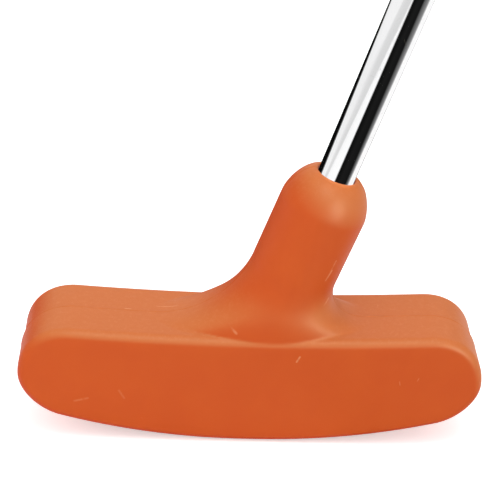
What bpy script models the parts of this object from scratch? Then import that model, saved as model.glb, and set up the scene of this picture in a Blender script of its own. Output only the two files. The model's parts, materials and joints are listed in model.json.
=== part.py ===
"""Two-way miniature golf putter: moulded rubber head on a steel core, plated shaft, slip-on grip.

The club stands at address. The origin is the middle of the sole, where it rests on the ground.
+Z is up, +X points to the player, and the two striking faces look along -Y and +Y.
All lengths are in metres.
"""

from math import acos, cos, pi, radians, sin, sqrt, tan

import bmesh
import bpy
from mathutils import Vector

# Fits
CLEARANCE = 0.0003  # between two pieces that touch
TAPE_GAP = 0.0002  # on each side of the grip tape

# Club
CLUB_LENGTH = 0.889  # along the shaft, from the ground to the end of the grip
LEAN = radians(17.8)  # shaft from vertical
AXIS_CROSSING = 0.0127  # height at which the shaft's axis crosses the head's middle plane

# Head outline, seen from the face
HEAD_LENGTH = 0.127
HEAD_HEIGHT = 0.0333  # at the middle of the top
SOLE_RADIUS = 0.19
SOLE_LAND = 0.004  # flat in the middle of the curved sole
CROWN_RADIUS = 1.295  # the top is very slightly hollow
NOSE_HEIGHT = 0.0197  # where the rounded ends reach furthest out
TOP_CORNER = 0.0151  # length of the corner curve along the top
TOP_FULLNESS = 0.587
SOLE_CORNER = 0.0115  # length of the corner curve along the sole
SOLE_FULLNESS = 0.53
SOLE_STEPS = 12
CORNER_STEPS = 10
CROWN_STEPS = 7

# Head section, seen from the end
HEAD_DEPTH = 0.0272  # from one striking face to the other
RIM_RADIUS = 0.0021  # rounded edge round each face
RIM_STEPS = 4
FACE_DRAFT = 0.00026  # the outline shrinks by this much from the parting land to each face
PARTING_LAND = 0.004  # band round the middle that has no draft

# Hosel boss
BOSS_SETBACK = 0.00174  # from a striking face in to the boss
BOSS_RISE = 0.0455  # from the head's top to the boss's mouth, along the shaft
DOME_LENGTH = 0.0099
DOME_FULLNESS = 1.66
DOME_STEPS = 7
MOUTH_GAP = 0.0008  # round the shaft at the mouth
MOUTH_DEPTH = 0.003
LIP_WIDTH = 0.00015
BOSS_SIDES = 48

# Skirt that blends the boss into the head's top
SKIRT_TOE = 0.033  # reach from the shaft's axis, away from the player
SKIRT_HEEL = 0.0255  # reach towards the player
SKIRT_SETBACK = 0.0002  # from a striking face in to the skirt
SKIRT_RISE_TOE = 0.0205
SKIRT_RISE_HEEL = 0.0129
SKIRT_RISE_FACE = 0.009
SKIRT_FULLNESS = 0.56
SKIRT_STEPS = 7
SKIRT_SINK = 0.00005  # the skirt's edge lies this far under the head's surface
SKIRT_ROOT = 0.004  # and its root goes this far down inside the head

# Steel core
END_WALL = 0.0165  # rubber between the bar and the head's ends
SOLE_WALL = 0.009
TOP_WALL = 0.0093
BAR_SIDE = 0.0017  # steel between the socket's hole and each side of the bar
BAR_EDGE = 0.0015
SOCKET_FLOOR = 0.002  # steel left under the socket's hole
SOCKET_WALL = 0.0017
SOCKET_COVER = 0.008  # from the socket's end to the boss's mouth
PIN_DIAMETER = 0.003
PIN_WALL = 0.0006
PIN_SLOT = radians(50)
PIN_RISE = 0.009  # from the bar's top to the pin, along the shaft

# Shaft
TIP_DIAMETER = 0.010033
BUTT_DIAMETER = 0.014732
SHAFT_WALL = 0.00055
TIP_LENGTH = 0.056  # parallel tip
TAPER_LENGTH = 0.743
SHAFT_SIDES = 40
PLUG_LENGTH = 0.012

# Grip
GRIP_LENGTH = 0.267
GRIP_MOUTH_WALL = 0.0016
GRIP_BUTT_WALL = 0.0051
GRIP_FLAT = 0.0013  # how far the thumb flat is cut into the round
GRIP_STEPS = 6
TAPE_THICKNESS = 0.0003
TAPE_SEAM = radians(12)
TAPE_MARGIN = 0.006  # the tape stops this far inside the grip's mouth
CAP_THICKNESS = 0.005
CAP_OVERHANG = 0.0004
CAP_EDGE = 0.0012
CAP_SPIGOT = 0.0028
VENT_DIAMETER = 0.0032

AXIS = Vector((sin(LEAN), 0.0, cos(LEAN)))
GROUND_POINT = Vector((-AXIS_CROSSING * tan(LEAN), 0.0, 0.0))
TOP_STATION = HEAD_HEIGHT / cos(LEAN)  # stations run along the shaft's axis from the ground
MOUTH_STATION = TOP_STATION + BOSS_RISE
BOSS_RADIUS = HEAD_DEPTH / 2 - BOSS_SETBACK
BAR_LENGTH = HEAD_LENGTH - 2 * END_WALL
BAR_TOP = HEAD_HEIGHT - TOP_WALL
SOCKET_RADIUS = TIP_DIAMETER / 2 + CLEARANCE + SOCKET_WALL
HOLE_RADIUS = SOCKET_RADIUS + CLEARANCE
BAR_DEPTH = 2 * (HOLE_RADIUS + BAR_SIDE)
HOLE_STATION = (SOLE_WALL + SOCKET_FLOOR + HOLE_RADIUS * sin(LEAN)) / cos(LEAN)
TIP_STATION = HOLE_STATION + CLEARANCE
SOCKET_END = MOUTH_STATION - SOCKET_COVER
PIN_STATION = BAR_TOP / cos(LEAN) + PIN_RISE
CAP_STATION = CLUB_LENGTH - CAP_THICKNESS
GRIP_STATION = CLUB_LENGTH - GRIP_LENGTH
BUTT_STATION = CAP_STATION - CAP_SPIGOT - CLEARANCE
BORE_ALLOWANCE = TAPE_THICKNESS + 2 * TAPE_GAP  # grip's bore over the shaft's radius


def clear_scene():
    for thing in list(bpy.data.objects):
        bpy.data.objects.remove(thing, do_unlink=True)


def material(name, colour, roughness, metallic=0.0):
    made = bpy.data.materials.new(name)
    made.use_nodes = True
    shader = made.node_tree.nodes["Principled BSDF"]
    shader.inputs["Base Color"].default_value = (*colour, 1.0)
    shader.inputs["Roughness"].default_value = roughness
    shader.inputs["Metallic"].default_value = metallic
    return made


def add_object(name, bm, parent=None, finish=None, smooth=radians(35)):
    """Put a bmesh in the scene as an object, round pieces shaded smooth."""
    bmesh.ops.recalc_face_normals(bm, faces=bm.faces)
    mesh = bpy.data.meshes.new(name)
    bm.to_mesh(mesh)
    bm.free()
    mesh.shade_smooth()
    mesh.set_sharp_from_angle(angle=smooth)
    thing = bpy.data.objects.new(name, mesh)
    bpy.context.scene.collection.objects.link(thing)
    thing.parent = parent
    if finish:
        mesh.materials.append(finish)
    return thing


def add_helper(name, bm, parent=None):
    """A shape that is only joined to or cut from another, and isn't a piece itself."""
    helper = add_object(name, bm, parent)
    helper.hide_render = True
    helper.display_type = "WIRE"
    return helper


def combine(target, helper, operation):
    step = target.modifiers.new(helper.name, "BOOLEAN")
    step.operation = operation
    step.solver = "EXACT"
    step.object = helper


def loft(rings, closed=False):
    """Skin rings of equal length. A closed loft returns to its first ring, as a tube's wall does."""
    bm = bmesh.new()
    loops = [[bm.verts.new(point) for point in ring] for ring in rings]
    pairs = list(zip(loops, loops[1:]))
    if closed:
        pairs.append((loops[-1], loops[0]))
    else:
        bm.faces.new(reversed(loops[0]))
        bm.faces.new(loops[-1])
    for lower, upper in pairs:
        for a, b, c, d in zip(lower, lower[1:] + lower[:1], upper[1:] + upper[:1], upper):
            bm.faces.new((a, b, c, d))
    return bm


def circle(radius, height, sides):
    """Ring round the local Z axis."""
    return [
        Vector((radius * cos(turn), radius * sin(turn), height))
        for turn in (2 * pi * i / sides for i in range(sides))
    ]


def turned(profile, sides, closed=False):
    """Solid of (radius, height) steps round the local Z axis."""
    return loft([circle(radius, height, sides) for radius, height in profile], closed)


def split_tube(inner, outer, slot, height, sides):
    """Ring with the section of a tube slit along its length, with the slit at +X."""
    turns = [slot / 2 + (2 * pi - slot) * i / sides for i in range(sides + 1)]
    outside = [Vector((outer * cos(turn), outer * sin(turn), height)) for turn in turns]
    inside = [Vector((inner * cos(turn), inner * sin(turn), height)) for turn in reversed(turns)]
    return outside + inside


def blend(points, step):
    """Point on a cubic Bezier curve."""
    rest = 1 - step
    start, first, second, end = points
    return (
        start * rest**3
        + first * (3 * rest * rest * step)
        + second * (3 * rest * step * step)
        + end * step**3
    )


# Head ---------------------------------------------------------------------------------------


def arc_drop(distance, radius):
    """Height of an arc above its lowest point, at a distance from it."""
    return radius - sqrt(radius**2 - distance**2)


def arc_slope(distance, radius):
    return distance / sqrt(radius**2 - distance**2)


def corner(start, meet, end, fullness, steps):
    """Corner curve. Its tangents cross at the meeting point."""
    points = (start, start.lerp(meet, fullness), end.lerp(meet, fullness), end)
    return [blend(points, i / steps) for i in range(steps + 1)]


def half_outline():
    """Right half of the head's outline at its middle plane, from the sole up to the top."""
    land = SOLE_LAND / 2
    sole_end = HEAD_LENGTH / 2 - SOLE_CORNER
    crown_end = HEAD_LENGTH / 2 - TOP_CORNER
    sole = []
    for i in range(SOLE_STEPS + 1):
        x = land + (sole_end - land) * i / SOLE_STEPS
        sole.append(Vector((x, 0, arc_drop(x - land, SOLE_RADIUS))))
    crown = []
    for i in range(CROWN_STEPS + 1):
        x = crown_end * (1 - i / CROWN_STEPS)
        crown.append(Vector((x, 0, crown_height(x))))
    nose = Vector((HEAD_LENGTH / 2, 0, NOSE_HEIGHT))
    low_rise = arc_slope(sole_end - land, SOLE_RADIUS) * SOLE_CORNER
    high_rise = arc_slope(crown_end, CROWN_RADIUS) * TOP_CORNER
    low_meet = Vector((nose.x, 0, sole[-1].z + low_rise))
    high_meet = Vector((nose.x, 0, crown[0].z + high_rise))
    lower = corner(sole[-1], low_meet, nose, SOLE_FULLNESS, CORNER_STEPS)
    upper = corner(nose, high_meet, crown[0], TOP_FULLNESS, CORNER_STEPS)
    return sole + lower[1:] + upper[1:] + crown[1:]


def crown_height(x):
    return HEAD_HEIGHT + arc_drop(x, CROWN_RADIUS)


def outline_with_normals():
    """Whole outline at the middle plane, each point with its outward direction."""
    right = half_outline()
    left = [Vector((-point.x, 0, point.z)) for point in reversed(right[:-1])]
    points = right + left
    after = points[1:] + points[:1]
    before = points[-1:] + points[:-1]
    normals = []
    for ahead, behind in zip(after, before):
        along = ahead - behind
        normals.append(Vector((along.z, 0, -along.x)).normalized())
    return points, normals


def inset(y):
    """How far the outline shrinks at a distance from the middle plane: draft, then the rim."""
    distance = abs(y)
    into_draft = max(0.0, distance - PARTING_LAND / 2)
    into_rim = max(0.0, distance - HEAD_DEPTH / 2 + RIM_RADIUS)
    rim = RIM_RADIUS - sqrt(max(0.0, RIM_RADIUS**2 - into_rim**2))
    return FACE_DRAFT * into_draft / (HEAD_DEPTH / 2 - PARTING_LAND / 2) + rim


def head_body():
    rim_start = HEAD_DEPTH / 2 - RIM_RADIUS
    half = [PARTING_LAND / 2]
    half += [rim_start + RIM_RADIUS * sin(pi / 2 * i / RIM_STEPS) for i in range(RIM_STEPS + 1)]
    stations = [-y for y in reversed(half)] + half
    points, normals = outline_with_normals()
    rings = []
    for y in stations:
        shrink = inset(y)
        rings.append([p - n * shrink + Vector((0, y, 0)) for p, n in zip(points, normals)])
    return loft(rings)


# Boss and skirt -----------------------------------------------------------------------------


def on_axis(station):
    return GROUND_POINT + AXIS * station


def round_axis(turn, radius):
    """Offset from the shaft's axis. A turn of 0 points to the player, and pi to the toe."""
    across = Vector((cos(LEAN), 0.0, -sin(LEAN)))
    return across * (radius * cos(turn)) + Vector((0, radius * sin(turn), 0))


def skirt_edge(turn):
    """Where the skirt meets the head's top: half an ellipse to each side of the shaft's axis."""
    reach = SKIRT_HEEL if cos(turn) > 0 else SKIRT_TOE
    x = on_axis(TOP_STATION).x + reach * cos(turn)
    y = (HEAD_DEPTH / 2 - SKIRT_SETBACK) * sin(turn)
    return Vector((x, y, crown_height(x) - inset(y) - SKIRT_SINK))


def skirt_curve(turn):
    """The skirt's curve at one turn: flat along the head's top, then up along the boss."""
    edge = skirt_edge(turn)
    side = cos(turn) ** 2
    rise = SKIRT_RISE_HEEL if cos(turn) > 0 else SKIRT_RISE_TOE
    rise = SKIRT_RISE_FACE + (rise - SKIRT_RISE_FACE) * side
    ring = round_axis(turn, BOSS_RADIUS)
    foot = on_axis(TOP_STATION) + ring
    foot -= AXIS * ((foot.z - HEAD_HEIGHT) / AXIS.z)
    end = foot + AXIS * rise
    flat_start = edge.lerp(foot, SKIRT_FULLNESS)
    steep_start = edge + Vector((0, 0, SKIRT_FULLNESS * SKIRT_RISE_FACE))
    start = steep_start.lerp(flat_start, side)
    points = (edge, start, end.lerp(foot, SKIRT_FULLNESS), end)
    return [blend(points, i / SKIRT_STEPS) for i in range(SKIRT_STEPS + 1)]


def boss_body():
    """Skirt, leaning round boss and its dome, up to the flat lip round the shaft."""
    turns = [2 * pi * i / BOSS_SIDES for i in range(BOSS_SIDES)]
    curves = [skirt_curve(turn) for turn in turns]
    root_height = HEAD_HEIGHT - SKIRT_ROOT
    root = [Vector((curve[0].x, curve[0].y, root_height)) for curve in curves]
    rings = [root] + [[curve[i] for curve in curves] for i in range(SKIRT_STEPS + 1)]
    mouth_radius = shaft_radius(MOUTH_STATION) + MOUTH_GAP
    dome_station = MOUTH_STATION - DOME_LENGTH
    for i in range(DOME_STEPS + 1):
        rise = sin(pi / 2 * i / DOME_STEPS)
        taper = (1 - rise**DOME_FULLNESS) ** (1 / DOME_FULLNESS)
        radius = mouth_radius + (BOSS_RADIUS - mouth_radius) * taper
        middle = on_axis(dome_station + DOME_LENGTH * rise)
        rings.append([middle + round_axis(turn, radius) for turn in turns])
    return loft(rings)


def socket_bore():
    """Bore in the rubber: round the socket, then round the shaft, flared at the mouth."""
    wide = SOCKET_RADIUS + CLEARANCE
    ledge = SOCKET_END + CLEARANCE
    flare = MOUTH_STATION - MOUTH_DEPTH
    narrow = shaft_radius(flare) + CLEARANCE
    mouth = shaft_radius(MOUTH_STATION) + MOUTH_GAP - LIP_WIDTH
    profile = [
        (wide, HOLE_STATION + HOLE_RADIUS * sin(LEAN)),
        (wide, ledge),
        (narrow, ledge),
        (narrow, flare),
        (mouth, MOUTH_STATION),
        (mouth, MOUTH_STATION + MOUTH_DEPTH),
    ]
    return turned(profile, BOSS_SIDES)


def bar_block(growth):
    """The weight bar's block with eased edges, grown all round by a fit."""
    size = Vector((BAR_LENGTH, BAR_DEPTH, BAR_TOP - SOLE_WALL)) + Vector((2, 2, 2)) * growth
    bm = bmesh.new()
    bmesh.ops.create_cube(bm, size=1.0)
    bmesh.ops.scale(bm, vec=size, verts=bm.verts)
    bmesh.ops.translate(bm, vec=(0, 0, (BAR_TOP + SOLE_WALL) / 2), verts=bm.verts)
    bmesh.ops.bevel(bm, geom=bm.edges, offset=BAR_EDGE, segments=2, profile=0.5, affect="EDGES")
    return bm


def make_rubber_head(axis_frame):
    rubber = material("orange_rubber", (0.62, 0.105, 0.022), 0.55)
    head = add_object("rubber_head", head_body(), finish=rubber)
    combine(head, add_helper("boss_shape", boss_body()), "UNION")
    combine(head, add_helper("bar_chamber", bar_block(CLEARANCE)), "DIFFERENCE")
    combine(head, add_helper("socket_chamber", socket_bore(), axis_frame), "DIFFERENCE")


# Core ---------------------------------------------------------------------------------------


def make_core_bar(axis_frame):
    steel = material("bar_steel", (0.30, 0.30, 0.31), 0.5, 1.0)
    bar = add_object("core_bar", bar_block(0.0), finish=steel)
    hole = turned([(HOLE_RADIUS, HOLE_STATION), (HOLE_RADIUS, TOP_STATION)], SHAFT_SIDES)
    combine(bar, add_helper("socket_hole", hole, axis_frame), "DIFFERENCE")


def make_pin_frame(axis_frame):
    """Empty on the pin's axis: its Z points along the head's depth."""
    frame = bpy.data.objects.new("pin_axis", None)
    bpy.context.scene.collection.objects.link(frame)
    frame.parent = axis_frame
    frame.location = (0, 0, PIN_STATION)
    frame.rotation_euler = (pi / 2, 0, 0)
    return frame


def pin_drill():
    radius = PIN_DIAMETER / 2 + CLEARANCE
    reach = SOCKET_RADIUS + CLEARANCE
    return turned([(radius, -reach), (radius, reach)], 20)


def make_core_socket(axis_frame, drill):
    steel = material("socket_steel", (0.34, 0.34, 0.35), 0.42, 1.0)
    bore = TIP_DIAMETER / 2 + CLEARANCE
    profile = [
        (SOCKET_RADIUS, TIP_STATION),
        (SOCKET_RADIUS, SOCKET_END),
        (bore, SOCKET_END),
        (bore, TIP_STATION),
    ]
    tube = turned(profile, SHAFT_SIDES, closed=True)
    socket = add_object("core_socket", tube, axis_frame, steel)
    combine(socket, drill, "DIFFERENCE")


def make_hosel_pin(pin_frame):
    steel = material("spring_steel", (0.22, 0.22, 0.24), 0.38, 1.0)
    outer = PIN_DIAMETER / 2
    length = 2 * SOCKET_RADIUS - 2 * CLEARANCE
    rings = [
        split_tube(outer - PIN_WALL, outer, PIN_SLOT, side * length / 2, 18) for side in (-1, 1)
    ]
    add_object("hosel_pin", loft(rings), pin_frame, steel)


# Shaft --------------------------------------------------------------------------------------


def shaft_radius(station):
    """Parallel tip, long even taper, parallel butt."""
    taper = (station - TIP_STATION - TIP_LENGTH) / TAPER_LENGTH
    taper = min(1.0, max(0.0, taper))
    return (TIP_DIAMETER + (BUTT_DIAMETER - TIP_DIAMETER) * taper) / 2


def make_shaft(axis_frame, drill):
    chrome = material("chrome_plate", (0.80, 0.80, 0.82), 0.06, 1.0)
    taper_start = TIP_STATION + TIP_LENGTH
    stations = [TIP_STATION, taper_start]
    taper_end = taper_start + TAPER_LENGTH
    if taper_end < BUTT_STATION:
        stations.append(taper_end)
    stations.append(BUTT_STATION)
    profile = [(shaft_radius(s), s) for s in stations]
    profile += [(shaft_radius(s) - SHAFT_WALL, s) for s in reversed(stations)]
    shaft = add_object("shaft", turned(profile, SHAFT_SIDES, closed=True), axis_frame, chrome)
    combine(shaft, drill, "DIFFERENCE")


def make_tip_plug(axis_frame):
    plastic = material("plug_plastic", (0.75, 0.75, 0.72), 0.5)
    radius = TIP_DIAMETER / 2 - SHAFT_WALL - CLEARANCE
    profile = [(radius, TIP_STATION), (radius, TIP_STATION + PLUG_LENGTH)]
    add_object("tip_plug", turned(profile, 24), axis_frame, plastic)


# Grip ---------------------------------------------------------------------------------------


def grip_radius(station):
    """Outside radius of the grip, from its thin mouth to its thick butt."""
    along = (station - GRIP_STATION) / (CAP_STATION - GRIP_STATION)
    wall = GRIP_MOUTH_WALL + (GRIP_BUTT_WALL - GRIP_MOUTH_WALL) * along
    return shaft_radius(station) + BORE_ALLOWANCE + wall


def flatted_circle(radius, height, flat, sides):
    """Ring round the local Z axis with a thumb flat on its toe side, at -X."""
    ring = []
    reach = radius - flat
    half_flat = acos(reach / radius)
    for point in circle(radius, height, sides):
        turn = acos(max(-1.0, min(1.0, -point.x / radius)))
        if turn < half_flat:
            point = Vector((-reach, point.y * reach / -point.x, height))
        ring.append(point)
    return ring


def make_grip_tape(axis_frame):
    paper = material("tape_paper", (0.70, 0.62, 0.45), 0.8)
    start = GRIP_STATION + TAPE_MARGIN
    end = BUTT_STATION - CLEARANCE
    stations = [start, end]
    taper_end = TIP_STATION + TIP_LENGTH + TAPER_LENGTH
    if start < taper_end < end:
        stations = [start, taper_end, end]
    rings = []
    for station in stations:
        inner = shaft_radius(station) + TAPE_GAP
        outer = inner + TAPE_THICKNESS
        rings.append(split_tube(inner, outer, TAPE_SEAM, station, SHAFT_SIDES))
    add_object("grip_tape", loft(rings), axis_frame, paper)


def make_grip_sleeve(axis_frame):
    rubber = material("grip_rubber", (0.012, 0.012, 0.013), 0.62)
    bore_end = CAP_STATION - CAP_SPIGOT - CLEARANCE
    outer = []
    for i in range(GRIP_STEPS + 1):
        station = GRIP_STATION + (CAP_STATION - GRIP_STATION) * i / GRIP_STEPS
        outer.append(flatted_circle(grip_radius(station), station, GRIP_FLAT, BOSS_SIDES))
    seat = spigot_radius() + CLEARANCE
    inner = [circle(seat, CAP_STATION, BOSS_SIDES), circle(seat, bore_end, BOSS_SIDES)]
    for i in range(GRIP_STEPS + 1):
        station = bore_end + (GRIP_STATION - bore_end) * i / GRIP_STEPS
        radius = shaft_radius(station) + BORE_ALLOWANCE
        inner.append(circle(radius, station, BOSS_SIDES))
    add_object("grip_sleeve", loft(outer + inner, closed=True), axis_frame, rubber)


def spigot_radius():
    """The cap's spigot covers the shaft's end and the wall of the bore round it."""
    return shaft_radius(BUTT_STATION) + BORE_ALLOWANCE + GRIP_BUTT_WALL * 0.35


def make_grip_cap(axis_frame):
    rubber = material("cap_rubber", (0.016, 0.016, 0.017), 0.5)
    base = CAP_STATION + CLEARANCE
    edge = CLUB_LENGTH - CAP_EDGE
    spigot_end = CAP_STATION - CAP_SPIGOT
    vent = VENT_DIAMETER / 2
    spigot = spigot_radius()
    rim = grip_radius(CAP_STATION) + CAP_OVERHANG
    rings = [
        circle(vent, CLUB_LENGTH, BOSS_SIDES),
        circle(vent, spigot_end, BOSS_SIDES),
        circle(spigot, spigot_end, BOSS_SIDES),
        circle(spigot, base, BOSS_SIDES),
        flatted_circle(rim, base, GRIP_FLAT, BOSS_SIDES),
        flatted_circle(rim, edge, GRIP_FLAT, BOSS_SIDES),
        flatted_circle(rim - CAP_EDGE * 0.3, CLUB_LENGTH - CAP_EDGE * 0.3, GRIP_FLAT, BOSS_SIDES),
        flatted_circle(rim - CAP_EDGE, CLUB_LENGTH, GRIP_FLAT, BOSS_SIDES),
    ]
    add_object("grip_cap", loft(rings, closed=True), axis_frame, rubber)


# Club ---------------------------------------------------------------------------------------


def main():
    clear_scene()
    axis_frame = bpy.data.objects.new("shaft_axis", None)
    bpy.context.scene.collection.objects.link(axis_frame)
    axis_frame.location = GROUND_POINT
    axis_frame.rotation_euler = (0, LEAN, 0)
    pin_frame = make_pin_frame(axis_frame)
    drill = add_helper("pin_drill", pin_drill(), pin_frame)
    make_rubber_head(axis_frame)
    make_core_bar(axis_frame)
    make_core_socket(axis_frame, drill)
    make_hosel_pin(pin_frame)
    make_shaft(axis_frame, drill)
    make_tip_plug(axis_frame)
    make_grip_tape(axis_frame)
    make_grip_sleeve(axis_frame)
    make_grip_cap(axis_frame)


main()
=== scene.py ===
# %% [markdown]
# # A two-way miniature golf putter
# The club is a moulded orange rubber head on a steel core, a chrome-plated steel shaft and a black
# rubber grip. Its engineering model is loaded first, and every piece below is placed by that model.

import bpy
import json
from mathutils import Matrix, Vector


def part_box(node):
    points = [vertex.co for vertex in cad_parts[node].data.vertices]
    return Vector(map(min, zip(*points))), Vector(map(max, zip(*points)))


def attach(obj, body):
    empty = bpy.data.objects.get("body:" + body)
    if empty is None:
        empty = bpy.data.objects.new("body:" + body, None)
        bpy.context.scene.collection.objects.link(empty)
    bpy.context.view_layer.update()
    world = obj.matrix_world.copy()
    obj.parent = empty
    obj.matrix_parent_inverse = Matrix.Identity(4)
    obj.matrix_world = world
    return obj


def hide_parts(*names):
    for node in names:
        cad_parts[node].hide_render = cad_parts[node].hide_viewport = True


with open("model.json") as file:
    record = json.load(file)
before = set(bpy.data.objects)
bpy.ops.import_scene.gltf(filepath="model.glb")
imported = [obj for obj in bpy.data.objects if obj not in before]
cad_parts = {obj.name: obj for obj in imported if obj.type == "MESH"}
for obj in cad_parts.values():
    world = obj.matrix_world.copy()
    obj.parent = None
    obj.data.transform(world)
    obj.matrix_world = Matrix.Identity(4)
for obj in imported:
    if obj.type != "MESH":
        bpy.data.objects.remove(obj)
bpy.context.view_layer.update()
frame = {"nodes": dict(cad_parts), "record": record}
nodes = frame["nodes"]
print("engineering model:", sorted(nodes))

# %% [markdown]
# ## The line of the shaft
# A golf club is measured along its shaft, so most places here are stations: distances along the
# shaft's axis, counted from where that axis meets the ground. The record's mounts give the axis.

# %% The shaft's axis
from math import asin, atan2, cos, pi, radians, sin, sqrt

import bmesh
import bpy
import json
import numpy as np
from mathutils import Matrix, Vector, noise

mounts = {mount["name"]: mount for mount in frame["record"]["mounts"]}
AXIS = np.array(mounts["butt_end"]["axis"], float)
LEAN = atan2(AXIS[0], AXIS[2])
held_at = np.array(mounts["grip_hold"]["pos_m"], float)
GROUND = held_at - AXIS * held_at[2] / AXIS[2]
ACROSS = np.array([cos(LEAN), 0.0, -sin(LEAN)])
ALONG_Y = np.array([0.0, 1.0, 0.0])
CLUB_LENGTH = float((np.array(mounts["butt_end"]["pos_m"]) - GROUND) @ AXIS)


def on_axis(station):
    """Point on the shaft's axis. A list of stations gives a list of points."""
    return GROUND + np.multiply.outer(station, AXIS)


def round_axis(turn, radius):
    """Offset from the axis. A turn of 0 points to the player, and pi to the toe."""
    turn = np.asarray(turn)
    radius = np.asarray(radius)
    return (
        (radius * np.cos(turn))[..., None] * ACROSS + (radius * np.sin(turn))[..., None] * ALONG_Y
    )


print(f"club {CLUB_LENGTH * 1000:.0f} mm long, leaning {np.degrees(LEAN):.1f} degrees")

# %% [markdown]
# ## The camera
# The camera comes early, so that each piece can be judged as it is made. It looks down on the front
# face from close by with a long lens, turned a little about its own line of sight.

# %% Camera
CAMERA_AIM = np.array([-0.001355, 0.0, 0.053309])
CAMERA_DISTANCE = 0.430
CAMERA_AZIMUTH = radians(-2.584)
CAMERA_ELEVATION = radians(28.0)
CAMERA_ROLL = radians(2.801)
CAMERA_LENS = 115.0

flat = cos(CAMERA_ELEVATION)
look = np.array([-sin(CAMERA_AZIMUTH) * flat, cos(CAMERA_AZIMUTH) * flat, -sin(CAMERA_ELEVATION)])
level = np.cross(look, (0, 0, 1))
level /= np.linalg.norm(level)
upright = np.cross(level, look)
right = level * cos(CAMERA_ROLL) + upright * sin(CAMERA_ROLL)
up = upright * cos(CAMERA_ROLL) - level * sin(CAMERA_ROLL)
camera_data = bpy.data.cameras.new("camera")
camera_data.lens = CAMERA_LENS
camera_data.clip_start = 0.01
camera = bpy.data.objects.new("camera", camera_data)
bpy.context.scene.collection.objects.link(camera)
turned_frame = Matrix([Vector(right), Vector(up), Vector(-look)]).transposed().to_4x4()
camera.matrix_world = Matrix.Translation(CAMERA_AIM - look * CAMERA_DISTANCE) @ turned_frame
bpy.context.scene.camera = camera
print("camera stands at", [round(v, 3) for v in camera.matrix_world.translation])

# %% [markdown]
# ## Skinning rings
# Nearly every piece of a club is a stack of rings: the head is its outline moved through its depth,
# the boss and the grip are sections stacked along the shaft. One helper skins them all.

# %% Skin a stack of rings


def skin(rings, closed=False):
    """Mesh through rings of equal length. A closed skin comes back to its first ring."""
    rings = np.asarray(rings, float)
    count, size = rings.shape[:2]
    starts = range(count if closed else count - 1)
    faces = []
    for ring in starts:
        here = ring * size
        there = (ring + 1) % count * size
        for i in range(size):
            j = (i + 1) % size
            faces.append((here + i, here + j, there + j, there + i))
    if not closed:
        faces.append(tuple(range(size - 1, -1, -1)))
        faces.append(tuple(range((count - 1) * size, count * size)))
    mesh = bpy.data.meshes.new("skin")
    mesh.from_pydata(rings.reshape(-1, 3), [], faces)
    bm = bmesh.new()
    bm.from_mesh(mesh)
    bmesh.ops.recalc_face_normals(bm, faces=bm.faces)
    bm.to_mesh(mesh)
    bm.free()
    return mesh


def add_piece(name, mesh, sharp=35.0):
    """A mesh as a named object, shaded smooth up to an edge angle."""
    mesh.name = name
    mesh.shade_smooth()
    mesh.set_sharp_from_angle(angle=radians(sharp))
    piece = bpy.data.objects.new(name, mesh)
    bpy.context.scene.collection.objects.link(piece)
    return piece


print("helpers: skin a stack of rings, add a piece")

# %% Modifiers


def settle(piece, name):
    """The piece with its modifiers worked out, as a fresh mesh. The piece itself goes."""
    graph = bpy.context.evaluated_depsgraph_get()
    mesh = bpy.data.meshes.new_from_object(piece.evaluated_get(graph), depsgraph=graph)
    bpy.data.objects.remove(piece)
    mesh.name = name
    return mesh


def join_or_cut(piece, other, operation):
    step = piece.modifiers.new(other.name, "BOOLEAN")
    step.operation = operation
    step.solver = "EXACT"
    step.object = other


print("helpers: work out modifiers, join or cut two shapes")

# %% [markdown]
# ## The head's outline
# Seen from its face the head is a long lozenge: a sole curved like a rocker, so that the club sits
# level for players of any height, round ends, and a nearly flat top. The sole and the top are arcs,
# and each corner is one Bezier curve between them and the end's furthest point.

# %% Sizes of the head
head_low, head_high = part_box("rubber_head")
HEAD_LENGTH = head_high.x - head_low.x
HEAD_DEPTH = head_high.y - head_low.y
HEAD_HEIGHT = 0.0329
SOLE_RADIUS = 0.19
SOLE_LAND = 0.004
CROWN_RADIUS = 0.81
NOSE_HEIGHT = 0.0197
TOP_CORNER = 0.0151
TOP_FULLNESS = 0.587
SOLE_CORNER = 0.0115
SOLE_FULLNESS = 0.53
print(f"head {HEAD_LENGTH * 1000:.1f} mm long and {HEAD_DEPTH * 1000:.1f} mm deep")

# %% Outline of the head


def arc_rise(distance, radius):
    return radius - np.sqrt(radius**2 - distance**2)


def arc_slope(distance, radius):
    return distance / sqrt(radius**2 - distance**2)


def bezier(points, steps):
    """Points along a cubic Bezier curve. Each control point may be a whole ring of points."""
    t = np.linspace(0, 1, steps + 1).reshape((-1,) + (1,) * np.ndim(points[0]))
    a, b, c, d = (np.asarray(point, float) for point in points)
    return a * (1 - t) ** 3 + b * 3 * t * (1 - t) ** 2 + c * 3 * t * t * (1 - t) + d * t**3


def crown_height(x):
    return HEAD_HEIGHT + arc_rise(x, CROWN_RADIUS)


def corner(start, meet, end, fullness):
    first = start + (meet - start) * fullness
    second = end + (meet - end) * fullness
    return bezier((start, first, second, end), 26)


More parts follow.
